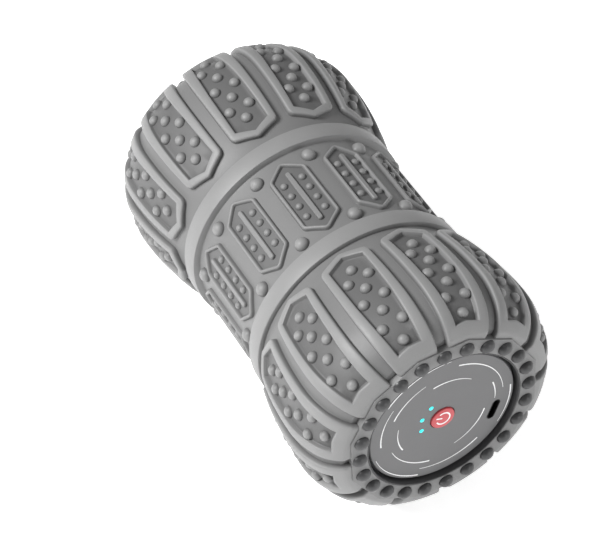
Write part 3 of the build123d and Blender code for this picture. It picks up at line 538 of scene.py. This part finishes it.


# Silicone rubber, moulded in a blasted mould: matt and grey, with a fine grain. A blasted mould's
# grain is too fine to show, so it is drawn coarser. The moulding's low parts get painted shade.
def moulded(
    name, light, dark, roughness, grain, relief, patch=9.0, spread=0.08, level=0.5, painted_shade_tone=None
):
    """A moulded surface: two close tones in broad patches, a fine grain, and its bump, in mm.
    With a painted shade tone, the moulding's low parts are painted darker, as painted shade."""
    material, place = new_material(name)
    cloud = add_node(
        material, "ShaderNodeTexNoise", {"Scale": 1 / (patch * mm), "Detail": 2.0}, {"Vector": place}
    )
    fine = add_node(
        material, "ShaderNodeTexNoise", {"Scale": 1 / (grain * mm), "Detail": 1.0}, {"Vector": place}
    )
    tone = add_node(
        material,
        "ShaderNodeMixRGB",
        {"Color1": srgb(light), "Color2": srgb(dark)},
        {"Fac": cloud.outputs["Fac"]},
    )
    if painted_shade_tone:
        height = add_node(material, "ShaderNodeAttribute", {"attribute_name": "painted_shade_height"})
        proud = add_node(
            material,
            "ShaderNodeMapRange",
            {"From Min": 0.2, "From Max": 1.9},
            {"Value": height.outputs["Fac"]},
        )
        tone = add_node(
            material,
            "ShaderNodeMixRGB",
            {"Color1": srgb(painted_shade_tone)},
            {"Fac": proud.outputs["Result"], "Color2": tone.outputs["Color"]},
        )
    rough = add_node(
        material,
        "ShaderNodeMapRange",
        {"To Min": roughness - spread, "To Max": roughness + spread},
        {"Value": fine.outputs["Fac"]},
    )
    bump = add_node(
        material,
        "ShaderNodeBump",
        {"Strength": 1.0, "Distance": relief * mm},
        {"Height": fine.outputs["Fac"]},
    )
    surface = add_node(
        material,
        "ShaderNodeBsdfPrincipled",
        {"IOR": 1.45, "Specular IOR Level": level},
        {
            "Base Color": tone.outputs["Color"],
            "Roughness": rough.outputs["Result"],
            "Normal": bump.outputs["Normal"],
        },
    )
    add_node(material, "ShaderNodeOutputMaterial", (), {"Surface": surface.outputs[0]})
    return material


# The darker third tone is painted shade for the moulding's low parts.
silicone = moulded(
    "silicone_rubber_moulded", "#858585", "#7f7f7f", 0.5, 0.45, 0.045, painted_shade_tone="#5a5a5a"
)
finish_piece(skin, silicone)
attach(skin, "housing")
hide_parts("silicone_sleeve")

# ---------------------------------------------------------------- end rings
# A twelve-sided silicone ring closes each mouth of the sleeve. It is a separate flat moulding with
# softened edges, pushed over the pegs of the stud ring behind it.
ring_face = 84.4
ring_back = 81.5
ring_flat = 36.85
ring_bore = 30.75
blank_radius = 40
for end, side, twist in (("front", -1, front_twist), ("rear", 1, rear_twist)):
    blank = [(ring_bore, side * ring_back), (blank_radius, side * ring_back)]
    blank += [(blank_radius, side * ring_face), (ring_bore, side * ring_face)]
    ring = lathe(f"{end}_end_ring_moulding", blank, 96)
    bpy.ops.object.mode_set(mode="EDIT")
    for k in range(12):
        turn = radians(twist + 15 + 30 * k)
        outwards = Vector((sin(turn), 0, cos(turn)))
        bpy.ops.mesh.select_all(action="SELECT")
        bpy.ops.mesh.bisect(
            plane_co=outwards * ring_flat, plane_no=outwards, clear_outer=True, use_fill=True
        )
    bpy.ops.object.mode_set(mode="OBJECT")
    close_up(ring, 0.01)
    soft_edge = ring.modifiers.new("soft_edge", "BEVEL")
    soft_edge.width = 0.2
    soft_edge.segments = 3
    soft_edge.angle_limit = radians(25)
    bpy.ops.object.modifier_apply(modifier="soft_edge")
    # The end ring is given one even share of painted shade.
    keep_shade_height(ring, lambda at: 1.2)
    finish_piece(ring, silicone)
    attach(ring, "housing")
    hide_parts(f"{end}_end_ring")

# ---------------------------------------------------------------- stud rings
# Behind each end ring lies a hard dark nylon ring. Its collar lines the opening, and its studs stand
# on pegs that are hidden in the end ring and aren't drawn. It is injection moulded, with a finer and
# glossier skin than the silicone.
nylon = moulded("nylon_moulded_dark", "#3d3d3e", "#363637", 0.38, 0.3, 0.006, level=0.5)
stud_circle = 33.95
stud_radius = 2.85
stud_height = 2.25
stud_sink = 0.15
for end, side, twist in (("front", -1, front_twist), ("rear", 1, rear_twist)):
    collar = [(30.2, 80.2), (36.6, 80.2), (36.6, 81.4), (30.7, 81.4), (30.7, 84.15)]
    collar += [(30.6, 84.3), (30.35, 84.3), (30.2, 84.1)]
    studs = lathe(f"{end}_stud_ring_moulding", [(r, side * y) for r, y in collar], 96)
    stud = dome("stud", stud_radius, 24, 18)
    lower = Matrix.Diagonal((1, 1, stud_height / stud_radius, 1))
    upright = Matrix.Rotation(side * radians(-90), 4, "X") @ lower
    heads = []
    for k in range(24):
        turn = radians(twist + 15 * k)
        middle = (stud_circle * sin(turn), side * (ring_face - stud_sink), stud_circle * cos(turn))
        heads.append(copy_to(stud, Matrix.Translation(middle) @ upright))
    bpy.data.objects.remove(stud)
    studs = join([studs] + heads)
    finish_piece(studs, nylon, 50)
    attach(studs, "housing")
    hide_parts(f"{end}_stud_ring")

# ---------------------------------------------------------------- control panel
# The panel is a flat satin plate of moulded ABS, sunk in the front ring, and the plain rear cover has
# the same finish. The panel's arcs are pad printed in white: each starts thick and round, and narrows
# clockwise to a third of its width.
def dress(material, *nodes):
    """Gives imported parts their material."""
    for node in nodes:
        slots = frame["nodes"][node].data.materials
        slots.clear()
        slots.append(material)


def bent_strip(name, radius, start, stop, face, half_width, height, taper):
    """A thin printed strip round the roller's axis, which narrows to a share of its width."""
    length = radius * radians(stop - start)
    strip = flat_plate(name, (0, -half_width), (length, half_width), 0)
    choose(strip, lambda at: at.x < 0.1 or taper == 1, "VERT")
    bpy.ops.mesh.bevel(offset=0.9 * half_width, segments=4, affect="VERTICES")
    choose(strip, lambda at: True)
    bpy.ops.mesh.extrude_region_move(TRANSFORM_OT_translate={"value": (0, 0, height)})
    for k in range(1, 24):
        cut_all((length * k / 24, 0), (length * k / 24, 1))
    bpy.ops.object.mode_set(mode="OBJECT")
    for vertex in strip.data.vertices:
        narrow = 1 - (1 - taper) * max(vertex.co.x, 0) / length
        turn = radians(start) + vertex.co.x / radius
        reach = radius + vertex.co.y * narrow
        vertex.co = (reach * sin(turn), face - vertex.co.z, reach * cos(turn))
    close_up(strip)
    return strip


grey_abs = moulded("abs_satin_grey", "#636364", "#5f5f60", 0.42, 0.5, 0.004)
dress(grey_abs, "control_panel", "rear_cover")
panel_face = -82.6
ink_height = 0.03
arc_side = 0.27
arc_taper = 0.3
printed_arcs = [(17.9, -116, -77), (17.9, -11, 41), (17.9, 108, 165), (21.4, -63, -17)]
printed_arcs += [(21.4, 72, 97), (21.4, 195, 252), (24.6, -93, -51), (24.6, 16, 87)]
printed_arcs += [(24.6, 145, 203), (27.7, 88, 126), (27.7, 202, 255), (27.7, -50, 8)]
arc_marks = [
    bent_strip("printed_arc", radius, start, stop, panel_face, arc_side, ink_height, arc_taper)
    for radius, start, stop in printed_arcs
]
panel_print = join(arc_marks)
panel_print.name = "panel_print"
white_ink = moulded("ink_pad_printed_white", "#f2f2f2", "#e8e8e8", 0.5, 0.2, 0.002)
finish_piece(panel_print, white_ink)
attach(panel_print, "housing")

# ---------------------------------------------------------------- power button
# A press button of red ABS with a satin skin and a rounded rim. The power mark is printed on its flat
# face, and the flange behind it keeps it in the panel.
red_abs = moulded("abs_satin_red", "#c4474d", "#bb4248", 0.36, 0.4, 0.004)
button_face = -83.17
cap_outline = [(0, -77.0), (1.8, -77.0), (1.8, -78.7), (6.2, -78.7), (6.2, -79.7), (4.7, -79.7)]
cap_outline += [(4.7, -82.75), (4.64, -82.95), (4.5, -83.09), (4.25, button_face), (0, button_face)]
cap = lathe("power_button_cap", cap_outline, 64)
finish_piece(cap, red_abs)
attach(cap, "button")
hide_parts("power_button")


def lay_on_panel(piece, angle, reach, face):
    """Moves a flat drawing, its Y pointing outwards, to an angle and radius on the control end."""
    out = Vector((sin(radians(angle)), 0, cos(radians(angle))))
    side = Vector((out.z, 0, -out.x))
    for vertex in piece.data.vertices:
        across, along, height = vertex.co
        vertex.co = side * across + out * (reach + along) + Vector((0, face - height, 0))


mark_angle = -67.5
mark_gap = 38
mark_side = 0.3
mark_radius = 2.65
mark_foot = 0.35
mark_tip = 2.95
mark_ring = bent_strip(
    "power_mark",
    mark_radius,
    mark_angle + mark_gap,
    mark_angle + 360 - mark_gap,
    button_face,
    mark_side,
    ink_height,
    1,
)
mark_bar = flat_plate("power_mark_bar", (-mark_side, mark_foot), (mark_side, mark_tip), 0)
choose(mark_bar, lambda at: True, "VERT")
bpy.ops.mesh.bevel(offset=0.9 * mark_side, segments=4, affect="VERTICES")
choose(mark_bar, lambda at: True)
bpy.ops.mesh.extrude_region_move(TRANSFORM_OT_translate={"value": (0, 0, ink_height)})
bpy.ops.object.mode_set(mode="OBJECT")
lay_on_panel(mark_bar, mark_angle, 0, button_face)
close_up(mark_bar)
mark_ring = join([mark_ring, mark_bar])
finish_piece(mark_ring, white_ink)
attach(mark_ring, "button")

# ---------------------------------------------------------------- status lamps and lenses
# Three light pipes of clear acrylic carry the lamps' cyan light through the panel. They are polished
# rods with a collar behind the panel and a domed tip.
acrylic, place = new_material("acrylic_polished_lit_cyan")
glow = add_node(acrylic, "ShaderNodeTexNoise", {"Scale": 1 / (1.2 * mm)}, {"Vector": place})
tint = add_node(
    acrylic,
    "ShaderNodeMixRGB",
    {"Color1": srgb("#18dcdc"), "Color2": srgb("#3cf2f2")},
    {"Fac": glow.outputs["Fac"]},
)
pipe = add_node(
    acrylic,
    "ShaderNodeBsdfPrincipled",
    {"Roughness": 0.12, "IOR": 1.49, "Emission Strength": 0.55},
    {"Base Color": tint.outputs["Color"], "Emission Color": tint.outputs["Color"]},
)
add_node(acrylic, "ShaderNodeOutputMaterial", (), {"Surface": pipe.outputs[0]})
lens_outline = [(0, -73.1), (0.9, -73.1), (0.9, -79), (1.6, -79), (1.6, -80), (0.9, -80)]
lens_outline += [(0.9, -82.5), (0.86, -82.62), (0.7, -82.72), (0.4, -82.79), (0, -82.8)]
lens = lathe("lamp_lens_rods", lens_outline, 32)
lens_circle = 8.7
lens_step = 37.5
rods = []
for k in (-1, 0, 1):
    turn = radians(mark_angle + k * lens_step)
    rods.append(
        copy_to(lens, Matrix.Translation((lens_circle * sin(turn), 0, lens_circle * cos(turn))))
    )
bpy.data.objects.remove(lens)
lens_rods = join(rods)
lens_rods.name = "lamp_lens_rods"
finish_piece(lens_rods, acrylic)
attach(lens_rods, "housing")
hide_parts("lamp_lenses")
dress(moulded("epoxy_lamp_package", "#e6e6da", "#dcdcd0", 0.3, 0.4, 0.002), "status_lamps")

# ---------------------------------------------------------------- charging port
# A black nylon liner edges the port's slot in the panel. Behind it stand the drawn steel shell, which
# lies in its shade and is painted darker as painted shade, and the plastic tongue.
black_nylon = moulded("nylon_moulded_black", "#0d0d0d", "#080808", 0.5, 0.4, 0.004, level=0.3)
liner_half_height = 1.62
liner_half_width = 4.57
liner_depth = 1.1
port_circle = 22.5
bpy.ops.mesh.primitive_circle_add(vertices=32, radius=liner_half_height, fill_type="NOTHING")
liner = bpy.context.object
liner.name = "port_liner"
bpy.ops.object.mode_set(mode="EDIT")
for way in (-1, 1):
    choose(liner, lambda at: way * at.x > 0.01, "VERT")
    bpy.ops.transform.translate(value=(way * (liner_half_width - liner_half_height), 0, 0))
bpy.ops.mesh.select_all(action="SELECT")
bpy.ops.mesh.extrude_region_move(TRANSFORM_OT_translate={"value": (0, 0, -liner_depth)})
bpy.ops.object.mode_set(mode="OBJECT")
wall = liner.modifiers.new("wall", "SOLIDIFY")
wall.thickness = 0.3
wall.offset = -1
bpy.ops.object.modifier_apply(modifier="wall")
lay_on_panel(liner, mark_angle + 180, port_circle, panel_face - 0.02)
close_up(liner)
finish_piece(liner, black_nylon)
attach(liner, "housing")


# The socket's shell is drawn stainless steel, and so is the motor's shaft. The grain of a drawn,
# rolled or turned metal is long one way.
def metal(name, light, dark, roughness, grain, relief, draw=(1, 1, 1)):
    """A metal: two close tones, a fine grain and its bump, in mm, drawn out along an axis."""
    material, place = new_material(name)
    drawn = add_node(
        material,
        "ShaderNodeMapping",
        {"Scale": tuple(1 / (grain * mm * way) for way in draw)},
        {"Vector": place},
    )
    fine = add_node(material, "ShaderNodeTexNoise", {"Scale": 1.0}, {"Vector": drawn.outputs[0]})
    tone = add_node(
        material,
        "ShaderNodeMixRGB",
        {"Color1": srgb(light), "Color2": srgb(dark)},
        {"Fac": fine.outputs["Fac"]},
    )
    rough = add_node(
        material,
        "ShaderNodeMapRange",
        {"To Min": roughness - 0.08, "To Max": roughness + 0.08},
        {"Value": fine.outputs["Fac"]},
    )
    bump = add_node(
        material, "ShaderNodeBump", {"Distance": relief * mm}, {"Height": fine.outputs["Fac"]}
    )
    surface = add_node(
        material,
        "ShaderNodeBsdfPrincipled",
        {"Metallic": 1.0},
        {
            "Base Color": tone.outputs["Color"],
            "Roughness": rough.outputs["Result"],
            "Normal": bump.outputs["Normal"],
        },
    )
    add_node(material, "ShaderNodeOutputMaterial", (), {"Surface": surface.outputs[0]})
    return material


stainless = metal("stainless_steel_drawn", "#c4c4c6", "#b4b4b7", 0.3, 0.25, 0.002, (1, 12, 1))
# The shell's steel is a darker copy of the drawn steel: painted shade.
painted_shade_steel = metal("stainless_steel_painted_shade", "#1c1c1d", "#141415", 0.5, 0.3, 0.002, (1, 12, 1))
dress(painted_shade_steel, "port_shell")
dress(black_nylon, "port_tongue", "switch_plunger", "switch_body", "board_chips", "motor_end_bell")

# ---------------------------------------------------------------- core, seals and cradle
# Inside the sleeve is a hard core of two black ABS shells, screwed together, with rubber seals under
# the plates and a cradle for the cells. The shells keep a faint spark-eroded texture.
black_abs = moulded("abs_moulded_black", "#1c1c1e", "#171719", 0.5, 0.6, 0.01)
dress(black_abs, "core_shell_upper", "core_shell_lower", "battery_cradle")
black_rubber = moulded("rubber_moulded_black", "#141414", "#101010", 0.75, 0.5, 0.01, level=0.3)
dress(black_rubber, "panel_seal", "cover_seal", "motor_isolators")
zinc = metal("zinc_plated_steel", "#c2c6cc", "#a9aeb6", 0.34, 0.8, 0.003)
dress(zinc, "core_screws", "board_screws", "clamp_screws", "motor_can", "armature_core")

# ---------------------------------------------------------------- control board
# The board is glass-epoxy laminate under a green solder mask, which is glossy and slightly uneven.
dress(moulded("solder_mask_green", "#1d5c38", "#17492c", 0.3, 0.5, 0.004, patch=3.0), "control_board")

# ---------------------------------------------------------------- motor and weights
# A small brushed motor: drawn shaft, pressed bronze bushes, ferrite magnets, copper windings under
# varnish, a turned commutator with carbon brushes, and two cast iron weights clamped on the shaft.
dress(stainless, "motor_shaft")
dress(metal("bronze_sintered", "#b08a58", "#8f6c40", 0.5, 0.15, 0.006), "motor_bushes")
dress(moulded("ferrite_sintered", "#2e2e30", "#232325", 0.6, 0.3, 0.01), "motor_magnets")
varnished_copper = metal("copper_wire_varnished", "#c9773f", "#a85a2c", 0.28, 0.5, 0.02, (1, 10, 1))
dress(varnished_copper, "armature_windings")
dress(metal("copper_turned", "#cf8a5a", "#b87547", 0.3, 0.2, 0.002, (1, 0.3, 1)), "commutator")
dress(moulded("carbon_pressed", "#242424", "#1a1a1a", 0.55, 0.2, 0.004), "motor_brushes")
dress(metal("iron_as_cast", "#5c5c5e", "#464648", 0.6, 0.5, 0.02), "front_weight", "rear_weight")
dress(metal("steel_blackened", "#2a2a2c", "#1e1e20", 0.42, 0.4, 0.003), "weight_screws")

# ---------------------------------------------------------------- clamp and cells
# Two die cast aluminium halves hold the motor. The cells wear a blue shrink wrap and are joined by
# rolled nickel strips.
aluminium = metal("aluminium_die_cast", "#b9bbbf", "#a3a5aa", 0.48, 0.5, 0.012)
dress(aluminium, "motor_clamp_upper", "motor_clamp_lower")
dress(moulded("shrink_wrap_blue", "#2a62a8", "#245695", 0.28, 1.2, 0.004, patch=12.0), "battery_cells")
dress(metal("nickel_rolled", "#cfcabd", "#bcb7aa", 0.3, 0.3, 0.002, (8, 1, 1)), "cell_strips")

# ---------------------------------------------------------------- wires
# The wires have extruded silicone insulation: red to the cells and white to the motor.
dress(moulded("wire_insulation_red", "#a3191c", "#93161a", 0.4, 0.3, 0.003), "battery_wires")
dress(moulded("wire_insulation_white", "#e4e4e4", "#d8d8d8", 0.4, 0.3, 0.003), "motor_wires")
